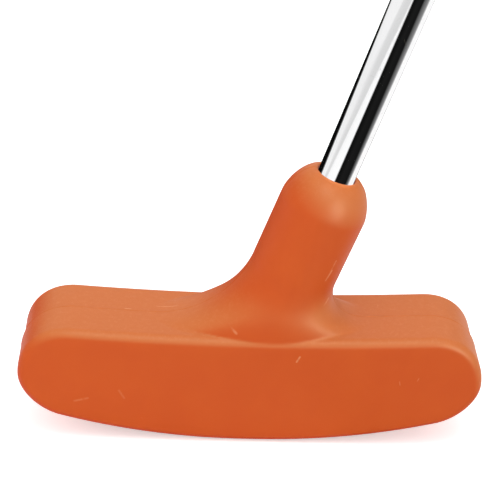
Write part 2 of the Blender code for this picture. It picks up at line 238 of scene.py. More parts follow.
def head_outline():
    """Points (x, z) of the whole outline, and the outward direction at each."""
    land = SOLE_LAND / 2
    nose_x = HEAD_LENGTH / 2
    sole_x = np.linspace(land, nose_x - SOLE_CORNER, 46)
    sole = np.stack([sole_x, arc_rise(sole_x - land, SOLE_RADIUS)], -1)
    crown_x = np.linspace(nose_x - TOP_CORNER, 0, 40)
    crown = np.stack([crown_x, crown_height(crown_x)], -1)
    nose = np.array([nose_x, NOSE_HEIGHT])
    low_rise = arc_slope(sole_x[-1] - land, SOLE_RADIUS) * SOLE_CORNER
    high_rise = arc_slope(crown_x[0], CROWN_RADIUS) * TOP_CORNER
    low = corner(sole[-1], np.array([nose_x, sole[-1, 1] + low_rise]), nose, SOLE_FULLNESS)
    high = corner(nose, np.array([nose_x, crown[0, 1] + high_rise]), crown[0], TOP_FULLNESS)
    half = np.concatenate([sole, low[1:], high[1:], crown[1:]])
    points = np.concatenate([half, (half * (-1, 1))[-2::-1]])
    along = np.roll(points, -1, 0) - np.roll(points, 1, 0)
    outward = np.stack([along[:, 1], -along[:, 0]], -1)
    return points, outward / np.linalg.norm(outward, axis=1)[:, None]


outline, outward = head_outline()
print("outline of", len(outline), "points")

# %% [markdown]
# ## The head's block
# The mould's two halves meet half way through the head's depth. The front half tapers slightly
# towards its face so that it comes out of the mould. Round each face runs a small even radius, a
# little tighter at the back.

# %% Block of the head
FRONT_RIM = 0.0024
BACK_RIM = 0.0018
FACE_DRAFT = 0.0001
PARTING_LAND = 0.004
SKIN_ALLOWANCE = 0.00004


def inset(y):
    """How far the outline shrinks towards each face: the draft, then the rim's radius."""
    distance = np.abs(y)
    radius = np.where(np.asarray(y) < 0, FRONT_RIM, BACK_RIM)
    into_draft = np.maximum(0, -np.asarray(y) - PARTING_LAND / 2)
    into_rim = np.clip(distance - HEAD_DEPTH / 2 + radius, 0, radius)
    draft = FACE_DRAFT * into_draft / (HEAD_DEPTH / 2 - PARTING_LAND / 2)
    return SKIN_ALLOWANCE + draft + radius - np.sqrt(radius**2 - into_rim**2)


def half_depths(radius):
    """Depths of the rings in one half, closer together round the rim."""
    flat = HEAD_DEPTH / 2 - radius
    side = np.linspace(PARTING_LAND / 2, flat, 9)[:-1]
    return np.concatenate([side, flat + radius * np.sin(np.linspace(0, pi / 2, 11))])


def head_block():
    rings = []
    for y in np.concatenate([-half_depths(FRONT_RIM)[::-1], half_depths(BACK_RIM)]):
        ring = outline - outward * inset(y)
        rings.append(np.stack([ring[:, 0], np.full(len(ring), y), ring[:, 1]], -1))
    return skin(rings)


block = add_piece("head_block", head_block())
print("head block:", len(block.data.polygons), "faces")

# %% [markdown]
# ## The boss and its skirt
# The shaft goes into a round boss that leans with it. The boss swells into the head through a
# skirt: a long sweep on the toe side, a tight one on the heel side under the lean, and almost
# nothing at the two faces, where the boss is nearly as wide as the head is deep. Each turn round
# the boss gets its own curve, and the rings are read across all the curves at once.

# %% Sizes of the boss and the shaft
BOSS_SETBACK = 0.00174
BOSS_RADIUS = HEAD_DEPTH / 2 - BOSS_SETBACK
DOME_LENGTH = 0.0099
DOME_FULLNESS = 1.60
MOUTH_GAP = 0.0008
SKIRT_TOE = 0.033
SKIRT_HEEL = 0.0255
SKIRT_RISE_TOE = 0.0205
SKIRT_RISE_HEEL = 0.0129
SKIRT_RISE_FACE = 0.015
SKIRT_FULLNESS = 0.56
SKIRT_SQUARENESS = 0.85
SKIRT_SETBACK = 0.0005
NECK_SWAY = 0.00055
TIP_DIAMETER = 0.010033
BUTT_DIAMETER = 0.014732
SHAFT_WALL = 0.00055
TIP_LENGTH = 0.056
TAPER_LENGTH = 0.743

shaft_low, shaft_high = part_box("shaft")
TIP_STATION = (shaft_low.z + TIP_DIAMETER / 2 * sin(LEAN)) / cos(LEAN)
TOP_STATION = HEAD_HEIGHT / cos(LEAN)


def shaft_radius(station):
    """Parallel tip, long even taper, parallel butt."""
    taper = np.clip((station - TIP_STATION - TIP_LENGTH) / TAPER_LENGTH, 0, 1)
    return (TIP_DIAMETER + (BUTT_DIAMETER - TIP_DIAMETER) * taper) / 2


mouth_radius = TIP_DIAMETER / 2 + MOUTH_GAP
MOUTH_STATION = (head_high.z - mouth_radius * sin(LEAN)) / cos(LEAN)
print(f"boss {BOSS_RADIUS * 2000:.1f} mm across, mouth at {MOUTH_STATION * 1000:.1f} mm")

# %% Boss and skirt
TOE_IN_SPREAD = 0.0005
TOE_IN_SETBACK = 0.0001
TOE_IN_DEPTH = 0.00003
ROOT_DEPTH = 0.005


def skirt_edge(turns, spread, setback):
    """Ring on the head's surface, half an ellipse to each side of the shaft's axis."""
    reach = np.where(np.cos(turns) > 0, SKIRT_HEEL, SKIRT_TOE) + spread
    x = on_axis(TOP_STATION)[0] + reach * np.cos(turns)
    y = (HEAD_DEPTH / 2 - setback) * np.sign(np.sin(turns)) * abs(np.sin(turns)) ** SKIRT_SQUARENESS
    return np.stack([x, y, crown_height(x) - inset(y)], -1)


def boss():
    turns = np.linspace(0, 2 * pi, 144, endpoint=False)
    side = np.cos(turns)[:, None] ** 2
    rise = np.where(np.cos(turns)[:, None] > 0, SKIRT_RISE_HEEL, SKIRT_RISE_TOE)
    rise = SKIRT_RISE_FACE + (rise - SKIRT_RISE_FACE) * side
    edge = skirt_edge(turns, 0, SKIRT_SETBACK)
    foot = on_axis(TOP_STATION) + round_axis(turns, BOSS_RADIUS) - (NECK_SWAY, 0, 0)
    foot = foot - AXIS * ((foot[:, 2:] - HEAD_HEIGHT) / AXIS[2])
    end = foot + AXIS * rise
    flat_start = edge + (foot - edge) * SKIRT_FULLNESS
    steep_start = edge + np.array([0, 0, SKIRT_FULLNESS * SKIRT_RISE_FACE])
    start = steep_start + (flat_start - steep_start) * abs(np.cos(turns)[:, None]) ** 1.2
    curve = bezier((edge, start, end + (foot - end) * SKIRT_FULLNESS, end), 28)
    toe_in = skirt_edge(turns, TOE_IN_SPREAD, SKIRT_SETBACK - TOE_IN_SETBACK)
    toe_in[:, 2] -= TOE_IN_DEPTH
    fillet = bezier((toe_in, (toe_in + 2 * edge) / 3, (curve[2] + 2 * edge) / 3, curve[2]), 4)
    root = toe_in * (1, 0.97, 0) + np.array([0, 0, HEAD_HEIGHT - ROOT_DEPTH])
    rings = [root, *fillet, *curve[3:]]
    dome_station = MOUTH_STATION - DOME_LENGTH
    last = rings[-1]
    for share in (0.25, 0.5, 0.75):
        goal = on_axis(dome_station) + round_axis(turns, BOSS_RADIUS)
        rings.append(last + (goal - last) * share)
    for rise in np.sin(np.linspace(0, pi / 2, 17)):
        taper = (1 - rise**DOME_FULLNESS) ** (1 / DOME_FULLNESS)
        radius = mouth_radius + (BOSS_RADIUS - mouth_radius) * taper
        rings.append(on_axis(dome_station + DOME_LENGTH * rise) + round_axis(turns, radius))
    return skin(rings)


boss_piece = add_piece("boss_shape", boss())
print("boss and skirt:", len(boss_piece.data.polygons), "faces")

# %% [markdown]
# ## One rubber skin
# The real head is one moulding with no seam between block and boss. The two shapes are united,
# rebuilt as an even net of small squares, and the net is laid back onto the exact surface. An even
# net is what the next step needs: it takes fine vertex moves, and it shades without streaks.

# %% Unite and rebuild the skin
NET_SIZE = 0.0005

join_or_cut(block, boss_piece, "UNION")
exact_skin = settle(block, "exact_skin")
bpy.data.objects.remove(boss_piece)
target = add_piece("exact_skin", exact_skin)
net = add_piece("net", exact_skin.copy())
rebuild = net.modifiers.new("rebuild", "REMESH")
rebuild.mode = "VOXEL"
rebuild.voxel_size = NET_SIZE
relax = net.modifiers.new("relax", "SMOOTH")
relax.factor = 0.5
relax.iterations = 2
lay_on = net.modifiers.new("lay_on", "SHRINKWRAP")
lay_on.target = target
lay_on.wrap_method = "NEAREST_SURFACEPOINT"
net_mesh = settle(net, "rubber_net")
bpy.data.objects.remove(target)
print("rubber net:", len(net_mesh.polygons), "faces")

# %% [markdown]
# ## The parting line
# Where the mould's halves met, rubber crept into the gap and was trimmed to a low ridge, and the
# halves were not quite in line, so the back half stands a hair lower. The net is cut along the
# middle plane first, so that the ridge is crisp, and then those points are moved outwards.

# %% Parting ridge and step
RIDGE_HEIGHT = 0.00013
RIDGE_CREST = 0.00006
RIDGE_FOOT = 0.00018
STEP_AT_ENDS = 0.00045
SEAM_DEPTH = 0.00012
STEP_ON_TOP = 0.0001
RAGGED_SCALE = 260
WORN_HEIGHT = 0.004
WORN_FADE = 0.006
STEP_ABOVE_HEAD = 0.012
STEP_FADE = 0.010


def ridge_and_step(mesh):
    bm = bmesh.new()
    bm.from_mesh(mesh)
    for y in (-RIDGE_FOOT, -RIDGE_CREST, RIDGE_CREST, RIDGE_FOOT, 2 * RIDGE_FOOT):
        everything = bm.verts[:] + bm.edges[:] + bm.faces[:]
        plane = {"plane_co": (0, y, 0), "plane_no": (0, 1, 0)}
        bmesh.ops.bisect_plane(bm, geom=everything, dist=1e-6, **plane)
    bm.normal_update()
    count = len(bm.verts)
    places = np.array([v.co for v in bm.verts])
    normals = np.array([v.normal for v in bm.verts])
    normals[:, 1] = 0
    y = places[:, 1]
    ragged = np.array([noise.noise(Vector(p) * RAGGED_SCALE) for p in places])
    height = RIDGE_HEIGHT * np.clip(0.55 + 0.9 * ragged, 0.1, 1.0)
    worn_sole = np.clip((places[:, 2] - WORN_HEIGHT) / WORN_FADE, 0.0, 1.0)
    lift = height * worn_sole * np.interp(np.abs(y), [RIDGE_CREST, RIDGE_FOOT], [1, 0])
    below_boss = np.clip((HEAD_HEIGHT + STEP_ABOVE_HEAD - places[:, 2]) / STEP_FADE, 0, 1)
    step = STEP_ON_TOP + (STEP_AT_ENDS - STEP_ON_TOP) * np.abs(normals[:, 0])
    fades_back = np.interp(y, [RIDGE_CREST, RIDGE_FOOT, HEAD_DEPTH / 2], [0, 1, 0.4])
    lift -= step * worn_sole * below_boss * fades_back
    seam = np.interp(y, [RIDGE_CREST, RIDGE_FOOT, 2 * RIDGE_FOOT], [0, 1, 0])
    lift -= SEAM_DEPTH * worn_sole * seam
    places += normals * lift[:, None]
    places[:, 0] = np.clip(places[:, 0], -HEAD_LENGTH / 2, HEAD_LENGTH / 2)
    for vertex, place in zip(bm.verts, places):
        vertex.co = place
    bm.to_mesh(mesh)
    bm.free()
    mesh.update()
    return count


print("points after cutting along the parting line:", ridge_and_step(net_mesh))

# %% [markdown]
# ## Room for the core
# The rubber was moulded round a steel bar and a socket tube, so it is hollow where they are. The
# bore round the shaft opens at the top of the boss with a small rounded lip. The finished moulding
# is hidden from gloss rays, or the chrome would carry an orange ring above the mouth.

# %% Chamber and bore
CLEARANCE = 0.0003
LIP_RADIUS = 0.00035
CHAMBER_EDGE = 0.0015
BORE_INTO_BAR = 0.003
BORE_PAST_MOUTH = 0.002
bar_low, bar_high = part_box("core_bar")
socket_low, socket_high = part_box("core_socket")
SOCKET_RADIUS = (socket_high.y - socket_low.y) / 2
SOCKET_END = (socket_high.z - SOCKET_RADIUS * sin(LEAN)) / cos(LEAN)
SOCKET_START = (socket_low.z + SOCKET_RADIUS * sin(LEAN)) / cos(LEAN)
ROUND = np.linspace(0, 2 * pi, 96, endpoint=False)


def turned(profile, turns=ROUND, closed=False):
    """Skin of (radius, station) steps turned about the shaft's axis."""
    rings = [on_axis(s) + round_axis(turns, np.full(len(turns), r)) for r, s in profile]
    return skin(rings, closed)


def bore_profile():
    wide = SOCKET_RADIUS + CLEARANCE
    narrow = TIP_DIAMETER / 2 + CLEARANCE
    steps = [(wide, SOCKET_START + BORE_INTO_BAR), (wide, SOCKET_END + CLEARANCE)]
    steps.append((narrow, SOCKET_END + CLEARANCE))
    for turn in np.linspace(0, pi / 2, 6):
        rise = LIP_RADIUS * sin(turn)
        steps.append((narrow + LIP_RADIUS * (1 - cos(turn)), MOUTH_STATION - LIP_RADIUS + rise))
    return steps + [(narrow + LIP_RADIUS, MOUTH_STATION + BORE_PAST_MOUTH)]


def bar_chamber():
    bm = bmesh.new()
    bmesh.ops.create_cube(bm, size=1.0)
    size = bar_high - bar_low + Vector((2, 2, 2)) * CLEARANCE
    bmesh.ops.scale(bm, vec=size, verts=bm.verts)
    bmesh.ops.translate(bm, vec=(bar_low + bar_high) / 2, verts=bm.verts)
    bmesh.ops.bevel(bm, geom=bm.edges, offset=CHAMBER_EDGE, segments=3, profile=0.5, affect="EDGES")
    mesh = bpy.data.meshes.new("chamber")
    bm.to_mesh(mesh)
    bm.free()
    return mesh


solid = add_piece("rubber_solid", net_mesh)
bore = add_piece("bore", turned(bore_profile()))
chamber = add_piece("chamber", bar_chamber())
join_or_cut(solid, bore, "DIFFERENCE")
join_or_cut(solid, chamber, "DIFFERENCE")
rubber_mesh = settle(solid, "rubber_moulding")
for tool in (bore, chamber):
    bpy.data.objects.remove(tool)
rubber = add_piece("rubber_moulding", rubber_mesh)
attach(rubber, "root")
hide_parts("rubber_head")
rubber.visible_glossy = False
print("rubber moulding:", len(rubber_mesh.polygons), "faces")

# %% [markdown]
# ## The shaft
# A stepless steel tube: a parallel tip that fits the socket, then one long even taper. It is turned
# with many sides, because a mirror finish shows every flat. Near its tip the tube is drilled across
# for the pin that locks it in the socket.

# %% Shaft
pin_low, pin_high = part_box("hosel_pin")
TUBE_TURNS = np.linspace(0, 2 * pi, 128, endpoint=False)
BUTT_STATION = (shaft_high.z - BUTT_DIAMETER / 2 * sin(LEAN)) / cos(LEAN)


def pin_drill():
    bm = bmesh.new()
    radius = (pin_high.x - pin_low.x) / 2 + CLEARANCE
    bmesh.ops.create_cone(
        bm, cap_ends=True, segments=48, radius1=radius, radius2=radius, depth=HEAD_DEPTH
    )
    middle = Matrix.Translation((pin_low + pin_high) / 2)
    bmesh.ops.transform(bm, matrix=middle @ Matrix.Rotation(pi / 2, 4, "X"), verts=bm.verts)
    mesh = bpy.data.meshes.new("pin_drill")
    bm.to_mesh(mesh)
    bm.free()
    return mesh


tip_stations = [TIP_STATION, TIP_STATION + TIP_LENGTH]
stations = np.concatenate([tip_stations, np.linspace(0.1, BUTT_STATION, 60)])
tube = [(shaft_radius(s), s) for s in stations]
tube += [(shaft_radius(s) - SHAFT_WALL, s) for s in stations[::-1]]
tube_piece = add_piece("shaft_tube", turned(tube, TUBE_TURNS, closed=True))
drill = add_piece("pin_drill", pin_drill())
join_or_cut(tube_piece, drill, "DIFFERENCE")
shaft = add_piece("chrome_shaft", settle(tube_piece, "chrome_shaft"))
bpy.data.objects.remove(drill)
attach(shaft, "root")
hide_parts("shaft")
print(f"shaft {1000 * (BUTT_STATION - TIP_STATION):.0f} mm long, {len(shaft.data.polygons)} faces")

# %% [markdown]
# ## The grip
# A moulded rubber sleeve slides over the taped shaft. It is round with a flat for the thumbs, thin
# at its mouth and thick at its butt. Its tread is cut inwards, row by row: cross grooves on the
# flat, and staggered pits round the rest. The tread is a depth worked out for every vertex, so
# changing one number changes the whole pattern.

# %% Sizes of the grip
GRIP_LENGTH = 0.267
GRIP_MOUTH_WALL = 0.0016
GRIP_BUTT_WALL = 0.0051
GRIP_FLAT = 0.0013
CAP_THICKNESS = 0.005
CAP_SPIGOT = 0.0028
CAP_OVERHANG = 0.0004
BORE_ALLOWANCE = 0.0007
VENT_RADIUS = 0.0016
CAP_STATION = CLUB_LENGTH - CAP_THICKNESS
GRIP_STATION = CLUB_LENGTH - GRIP_LENGTH
LIP_LENGTH = 0.0022
GROOVE_PITCH = 0.0042
GROOVE_DEPTH = 0.0005
PIT_PITCH = 0.0064
PIT_COLUMNS = 14
PIT_DEPTH = 0.0005
PIT_RADIUS = 0.0015
TREAD_START = 0.022
TREAD_MARGIN = 0.020
TREAD_FADE = 0.002
COLLARS = (0.014, 0.0175)
COLLAR_WIDTH = 0.0009
COLLAR_DEPTH = 0.0004
LIP_DEPTH = 0.0011
print(f"grip from {GRIP_STATION * 1000:.0f} to {CAP_STATION * 1000:.0f} mm")

# %% Grip sleeve


def grip_radius(station):
    along = (station - GRIP_STATION) / (CAP_STATION - GRIP_STATION)
    wall = GRIP_MOUTH_WALL + (GRIP_BUTT_WALL - GRIP_MOUTH_WALL) * along
    return shaft_radius(station) + BORE_ALLOWANCE + wall


def flatted(turns, radius, flat=GRIP_FLAT):
    """Distance from the axis round a ring that has a thumb flat on its toe side."""
    facing = -np.cos(turns)
    plane = (radius - flat) / np.maximum(facing, 0.2)
    return np.where(facing > 0.2, np.minimum(radius, plane), radius)


def tread_depth(station, turns):
    """Depth of the tread at one station, all the way round."""
    along = station - GRIP_STATION
    to_end = GRIP_LENGTH - TREAD_MARGIN - along
    whole = np.clip(min(along - TREAD_START, to_end) / TREAD_FADE, 0, 1)
    on_flat = np.clip((-np.cos(turns) - 0.90) / 0.04, 0, 1)
    off_flat = np.clip((0.86 + np.cos(turns)) / 0.04, 0, 1)
    groove = np.clip(np.cos(2 * pi * along / GROOVE_PITCH) * 2.2 - 0.9, 0, 1)
    row = round(along / PIT_PITCH)
    column = turns / (2 * pi) * PIT_COLUMNS + 0.5 * (row % 2)
    sideways = (column - np.round(column)) * 2 * pi / PIT_COLUMNS * grip_radius(station)
    distance = np.hypot(sideways, along - row * PIT_PITCH) / PIT_RADIUS
    pit = np.clip(1 - distance**2, 0, 1) ** 0.7
    collar = sum(max(0.0, 1 - abs(along - place) / COLLAR_WIDTH) for place in COLLARS)
    tread = on_flat * groove * GROOVE_DEPTH + off_flat * pit * PIT_DEPTH
    return whole * tread + collar * COLLAR_DEPTH


sleeve_turns = np.linspace(0, 2 * pi, 176, endpoint=False)
lip_stations = GRIP_STATION + LIP_LENGTH * (1 - np.cos(np.linspace(0, pi / 2, 8)[:-1]))
body_stations = np.linspace(GRIP_STATION + LIP_LENGTH, CAP_STATION, 430)
sleeve = []
for station in np.concatenate([lip_stations, body_stations]):
    near_mouth = np.clip(1 - (station - GRIP_STATION) / LIP_LENGTH, 0, 1)
    lip = LIP_DEPTH * (1 - sqrt(1 - near_mouth**2))
    radius = flatted(sleeve_turns, grip_radius(station)) - lip - tread_depth(station, sleeve_turns)
    sleeve.append(on_axis(station) + round_axis(sleeve_turns, radius))
SPIGOT_RADIUS = BUTT_DIAMETER / 2 + BORE_ALLOWANCE + GRIP_BUTT_WALL * 0.35
bore_end = CAP_STATION - CAP_SPIGOT - CLEARANCE
seat = SPIGOT_RADIUS + CLEARANCE
inside = [(seat, CAP_STATION), (seat, bore_end)]
inside += [(shaft_radius(s) + BORE_ALLOWANCE, s) for s in np.linspace(bore_end, GRIP_STATION, 24)]
for radius, station in inside:
    sleeve.append(on_axis(station) + round_axis(sleeve_turns, np.full(len(sleeve_turns), radius)))
grip = add_piece("grip_rubber", skin(sleeve, closed=True), sharp=50)
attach(grip, "root")
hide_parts("grip_sleeve")
print(f"grip {GRIP_LENGTH * 1000:.0f} mm long, {len(grip.data.polygons)} faces")

# %% [markdown]
# ## The grip's cap
# The end of the grip is its own small moulding, pressed into the sleeve: a rounded rim, a shallow
# dish, and a vent in the middle. Air leaves by the vent while the grip is slid on.

# %% Grip cap
CAP_EDGE = 0.0012
CAP_INSET = 0.00025
DISH_DEPTH = 0.0006
DISH_MARGIN = 0.0006
DISH_WIDTH = 0.0018
VENT_EDGE = 0.0006
RIM_CHAMFER = 0.0003
cap_turns = np.linspace(0, 2 * pi, 144, endpoint=False)
rim = grip_radius(CAP_STATION) + CAP_OVERHANG - CAP_INSET


def cap_ring(radius, station, flat=GRIP_FLAT):
    distance = flatted(cap_turns, radius, flat) if flat else np.full(len(cap_turns), radius)
    return on_axis(station) + round_axis(cap_turns, distance)


spigot_end = CAP_STATION - CAP_SPIGOT
cap = [cap_ring(VENT_RADIUS, CLUB_LENGTH - DISH_DEPTH - VENT_EDGE, 0)]
cap += [cap_ring(VENT_RADIUS, spigot_end, 0), cap_ring(SPIGOT_RADIUS, spigot_end, 0)]
cap += [cap_ring(SPIGOT_RADIUS, CAP_STATION + CLEARANCE, 0)]
cap += [cap_ring(rim - RIM_CHAMFER, CAP_STATION + CLEARANCE)]
cap += [cap_ring(rim, CAP_STATION + 2 * CLEARANCE)]
for turn in np.linspace(0, pi / 2, 9):
    back = CAP_EDGE * (1 - cos(turn))
    cap.append(cap_ring(rim - back, CLUB_LENGTH - CAP_EDGE * (1 - sin(turn))))
for share in (0.0, 0.3, 0.7, 1.0):
    dish = DISH_DEPTH * (1 - cos(pi * share)) / 2
    radius = rim - CAP_EDGE - DISH_MARGIN - DISH_WIDTH * share
    cap.append(cap_ring(radius, CLUB_LENGTH - dish))
cap += [cap_ring(VENT_RADIUS + VENT_EDGE, CLUB_LENGTH - DISH_DEPTH, 0)]
end_cap = add_piece("grip_end_cap", skin(cap, closed=True), sharp=50)
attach(end_cap, "root")
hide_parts("grip_cap")
print("cap:", len(end_cap.data.polygons), "faces")

# %% [markdown]
# ## Tools for finishes
# Each finish is a small network of nodes. A few helpers keep the networks short to write. One
# places a node and feeds its inputs, others do sums, ramps and blends, and one starts a node group
# with named sockets. A group is an effect that several finishes share, each with its own values.

# %% Node helpers


def put(tree, kind, feeds=None, **settings):
    """Place a shader node. Each input is fed a plain value or another node's output."""
    node = tree.nodes.new("ShaderNode" + kind)
    for setting, value in settings.items():
        setattr(node, setting, value)
    for socket, value in (feeds or {}).items():
        if isinstance(value, bpy.types.NodeSocket):
            tree.links.new(value, node.inputs[socket])
        else:
            node.inputs[socket].default_value = value
    return node


def work_out(tree, operation, first, second=0.5):
    return put(tree, "Math", {0: first, 1: second}, operation=operation).outputs[0]


def ramp(tree, value, low, high, start=0.0, end=1.0):
    feeds = {"Value": value, "From Min": low, "From Max": high, "To Min": start, "To Max": end}
    return put(tree, "MapRange", feeds, interpolation_type="SMOOTHSTEP").outputs[0]


def blend_colours(tree, share, first, second):
    return put(tree, "Mix", {0: share, 6: first, 7: second}, data_type="RGBA").outputs[2]


print("helpers: sums, ramps and colour blends")

# %% Node groups


def start_effect(name, inputs, outputs):
    tree = bpy.data.node_groups.new(name, "ShaderNodeTree")
    for label, value in inputs.items():
        socket = tree.interface.new_socket(label, in_out="INPUT", socket_type="NodeSocketFloat")
        socket.default_value = value
    for label in outputs:
        tree.interface.new_socket(label, in_out="OUTPUT", socket_type="NodeSocketFloat")
    entrance = tree.nodes.new("NodeGroupInput")
    leave = tree.nodes.new("NodeGroupOutput")
    return tree, entrance.outputs, leave.inputs


def use_effect(tree, effect, **values):
    node = tree.nodes.new("ShaderNodeGroup")
    node.node_tree = effect
    for label, value in values.items():
        node.inputs[label].default_value = value
    return node.outputs


print("helpers: place a node, start a node group, use a node group")

# %% [markdown]
# ## Shared effects
# Grain is the fine tooth of a surface and the slow drift of its colour. Scratches are short fine
# lines in mixed directions, and a single stroke is one rub mark at a place of its own. Dust gathers
# on what faces up. All of them work in the piece's own metres, so their size is a real size.

# %% Grain
grain, put_in, give = start_effect(
    "grain", {"Fine size": 0.0003, "Broad size": 0.01}, ["Fine", "Broad"]
)
place = put(grain, "TexCoord").outputs["Object"]
for label in ("Fine", "Broad"):
    per_metre = work_out(grain, "DIVIDE", 1.0, put_in[label + " size"])
    feeds = {"Vector": place, "Scale": per_metre, "Detail": 3.0, "Roughness": 0.6}
    grain.links.new(put(grain, "TexNoise", feeds).outputs["Fac"], give[label])
print("effect:", grain.name)

# %% Scratches
SCRATCH_BEND = 0.004
PATCH_SCALE = 210.0
scratches, put_in, give = start_effect(
    "scratches", {"Size": 0.01, "Width": 0.02, "Amount": 0.5}, ["Mask"]
)
place = put(scratches, "TexCoord").outputs["Object"]
per_metre = work_out(scratches, "DIVIDE", 1.0, put_in["Size"])
wander = put(scratches, "TexNoise", {"Vector": place, "Scale": per_metre, "Detail": 1.0})
feeds = {0: wander.outputs["Color"], "Scale": SCRATCH_BEND}
bent = put(scratches, "VectorMath", feeds, operation="SCALE")
moved = put(scratches, "VectorMath", {0: place, 1: bent.outputs[0]}, operation="ADD")
feeds = {"Vector": moved.outputs[0], "Scale": per_metre}
cells = put(scratches, "TexVoronoi", feeds, feature="DISTANCE_TO_EDGE")
line = work_out(scratches, "LESS_THAN", cells.outputs["Distance"], put_in["Width"])
feeds = {"Vector": place, "Scale": PATCH_SCALE, "Detail": 2.0}
patch = put(scratches, "TexNoise", feeds).outputs["Fac"]
lowered = work_out(scratches, "MULTIPLY", put_in["Amount"], 0.3)
limit = work_out(scratches, "SUBTRACT", 0.75, lowered)
kept = ramp(scratches, patch, limit, work_out(scratches, "ADD", limit, 0.06))
scratches.links.new(work_out(scratches, "MULTIPLY", line, kept), give["Mask"])
print("effect:", scratches.name)

# %% Single strokes
BREAK_SCALE = 1400.0
stroke = bpy.data.node_groups.new("stroke", "ShaderNodeTree")
for label in ("Middle", "Reach"):
    stroke.interface.new_socket(label, in_out="INPUT", socket_type="NodeSocketVector")
stroke.interface.new_socket("Width", in_out="INPUT", socket_type="NodeSocketFloat")
stroke.interface.new_socket("Mask", in_out="OUTPUT", socket_type="NodeSocketFloat")
put_in = stroke.nodes.new("NodeGroupInput").outputs
give = stroke.nodes.new("NodeGroupOutput").inputs


def vector_step(tree, operation, first, second):
    return put(tree, "VectorMath", {0: first, 1: second}, operation=operation).outputs


place = put(stroke, "TexCoord").outputs["Object"]
offset = vector_step(stroke, "SUBTRACT", place, put_in["Middle"])["Vector"]
covered = vector_step(stroke, "DOT_PRODUCT", offset, put_in["Reach"])["Value"]
whole = vector_step(stroke, "DOT_PRODUCT", put_in["Reach"], put_in["Reach"])["Value"]
share = work_out(stroke, "MINIMUM", work_out(stroke, "DIVIDE", covered, whole), 1.0)
share = work_out(stroke, "MAXIMUM", share, -1.0)
feeds = {0: put_in["Reach"], "Scale": share}
nearest = put(stroke, "VectorMath", feeds, operation="SCALE").outputs[0]
distance = vector_step(stroke, "DISTANCE", offset, nearest)["Value"]
feeds = {"Vector": place, "Scale": BREAK_SCALE, "Detail": 2.0}
broken = put(stroke, "TexNoise", feeds).outputs["Fac"]
solid_part = ramp(stroke, broken, 0.25, 0.55, 0.35, 1.0)
near_line = ramp(stroke, work_out(stroke, "DIVIDE", distance, put_in["Width"]), 0.15, 1.0, 1.0, 0.0)
stroke.links.new(work_out(stroke, "MULTIPLY", near_line, solid_part), give["Mask"])
print("effect:", stroke.name)

# %% Dust
dust, put_in, give = start_effect("dust", {"Size": 0.002, "Amount": 0.3}, ["Mask"])
faces_up = put(dust, "SeparateXYZ", {0: put(dust, "NewGeometry").outputs["Normal"]}).outputs["Z"]
place = put(dust, "TexCoord").outputs["Object"]
per_metre = work_out(dust, "DIVIDE", 1.0, put_in["Size"])
feeds = {"Vector": place, "Scale": per_metre, "Detail": 5.0, "Roughness": 0.75}
speck = put(dust, "TexNoise", feeds).outputs["Fac"]
settled = work_out(dust, "MULTIPLY", ramp(dust, faces_up, 0.2, 1.0), ramp(dust, speck, 0.45, 0.75))
dust.links.new(work_out(dust, "MULTIPLY", settled, put_in["Amount"]), give["Mask"])
print("effect:", dust.name)

# %% [markdown]
# ## Starting a finish
# Every finish ends in one Principled shader. Values that are the same all over the piece are typed
# on the shader itself, and only what changes over the surface is wired to it.

# %% Start a finish


def start_finish(name, **constants):
    finish = bpy.data.materials.new(name)
    finish.use_nodes = True
    tree = finish.node_tree
    tree.nodes.clear()
    shader = put(tree, "BsdfPrincipled")
    for label, value in constants.items():
        shader.inputs[label.replace("_", " ")].default_value = value
    end = put(tree, "OutputMaterial")
    tree.links.new(shader.outputs[0], end.inputs["Surface"])
    return finish, tree, shader


def raise_surface(tree, shader, height, distance, strength=1.0):
    bump = put(tree, "Bump", {"Height": height, "Distance": distance, "Strength": strength})
    tree.links.new(bump.outputs[0], shader.inputs["Normal"])


def dress(name, finish):
    piece = nodes[name] if name in nodes else bpy.data.objects[name]
    piece.data.materials.clear()
    piece.data.materials.append(finish)


print("finishes are built on the Principled shader")

# %% [markdown]
# ## Orange rubber
# The head is a matt orange rubber. Its top and the boss's upper side are painted paler and yellower
# than its faces, as painted light, and the sides turned away are painted deeper, as painted shade.
# Both follow the direction in which the surface faces. Fine mould grain, a few scuffs and dust
# break up the plain colour.

# %% Orange rubber
ORANGE = (0.60, 0.085, 0.0050, 1)
DEEP_ORANGE = (0.585, 0.078, 0.0045, 1)
# The next two colours are painted shade and painted light, blended in by the direction in which a
# surface faces.
PAINTED_SHADE_ORANGE = (0.575, 0.058, 0.0060, 1)
PAINTED_LIGHT_ORANGE = (0.605, 0.156, 0.036, 1)
SCUFF_ORANGE = (0.76, 0.31, 0.13, 1)
# Direction of the painted light: surfaces that face it are painted paler, and those turned away are
# painted deeper.
PAINTED_LIGHT_DIRECTION = Vector((0.45, -0.18, 0.87)).normalized()


def on_face(x, z):
    return np.array([x, head_low.y, z])


def on_top(x, y, above=0.0):
    return np.array([x, y, crown_height(x) + above])


def on_boss(above_head, turn):
    return on_axis(TOP_STATION + above_head) + round_axis(radians(turn), BOSS_RADIUS)


